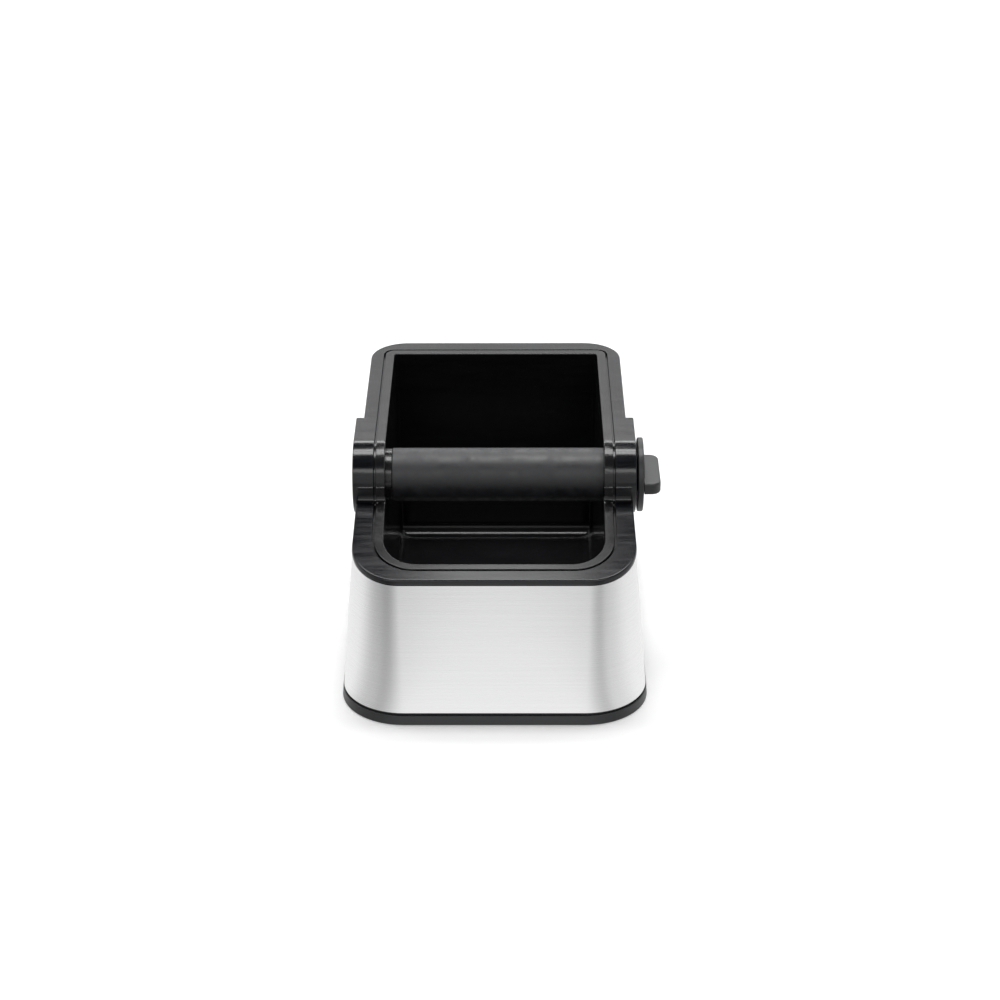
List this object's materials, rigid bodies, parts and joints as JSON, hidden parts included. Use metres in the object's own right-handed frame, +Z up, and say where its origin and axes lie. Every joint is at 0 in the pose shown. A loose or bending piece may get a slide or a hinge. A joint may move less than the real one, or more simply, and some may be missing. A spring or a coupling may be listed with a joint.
{
  "type": "knock box",
  "caption": "Rounded steel box with a black plastic rim that rises to the rear, a lift-out bin and a rubber-sleeved knock bar that pulls out sideways by its knob.",
  "frame": {"origin": "centre of the non-slip mat's underside, on the surface that the box stands on", "axes": "+Z up, -Y towards the low front of the box, +X towards the bar's knob"},
  "size_m": [0.1463, 0.1922, 0.1093],
  "materials": {
    "brushed_steel": "fine horizontal brushing",
    "turned_steel": "turned",
    "brass": "turned",
    "frame_plastic": "satin black",
    "base_plastic": "satin black",
    "bin_plastic": "satin black",
    "bush_plastic": "matte dark grey",
    "knob_plastic": "satin black",
    "bar_rubber": "matte black",
    "foot_rubber": "matte black"
  },
  "bodies": {
    "housing": {"base_tray": "base_plastic", "non_slip_mat": "foot_rubber", "base_screw_front_right": "turned_steel", "base_screw_front_left": "turned_steel", "base_screw_rear_right": "turned_steel", "base_screw_rear_left": "turned_steel", "insert_front_right": "brass", "insert_front_left": "brass", "insert_rear_right": "brass", "insert_rear_left": "brass", "steel_shell": "brushed_steel", "top_frame": "frame_plastic", "inner_bin": "bin_plastic", "bin_pad_front_right": "foot_rubber", "bin_pad_front_left": "foot_rubber", "bin_pad_rear_right": "foot_rubber", "bin_pad_rear_left": "foot_rubber", "right_bush": "bush_plastic", "left_bush": "bush_plastic", "bush_screw_upper": "turned_steel", "bush_screw_lower": "turned_steel"},
    "bar_sleeve": {"rubber_sleeve": "bar_rubber", "sleeve_core": "turned_steel", "left_collar": "knob_plastic", "right_collar": "knob_plastic", "collar_o_ring": "bar_rubber"},
    "bar_rod": {"steel_rod": "turned_steel", "lock_pin": "turned_steel", "rod_clip": "turned_steel", "knob_disc": "knob_plastic", "knob_screw": "turned_steel", "thumb_grip": "knob_plastic"}
  },
  "joints": [
    {"name": "bar_slide", "type": "slide", "parent": "housing", "child": "bar_sleeve", "axis": [1, 0, 0], "range_m": [0, 0.13]},
    {"name": "bar_turn", "type": "hinge", "parent": "bar_sleeve", "child": "bar_rod", "pos_m": [0, -0.02506, 0.0918], "axis": [1, 0, 0], "range_deg": [0, 90]}
  ]
}
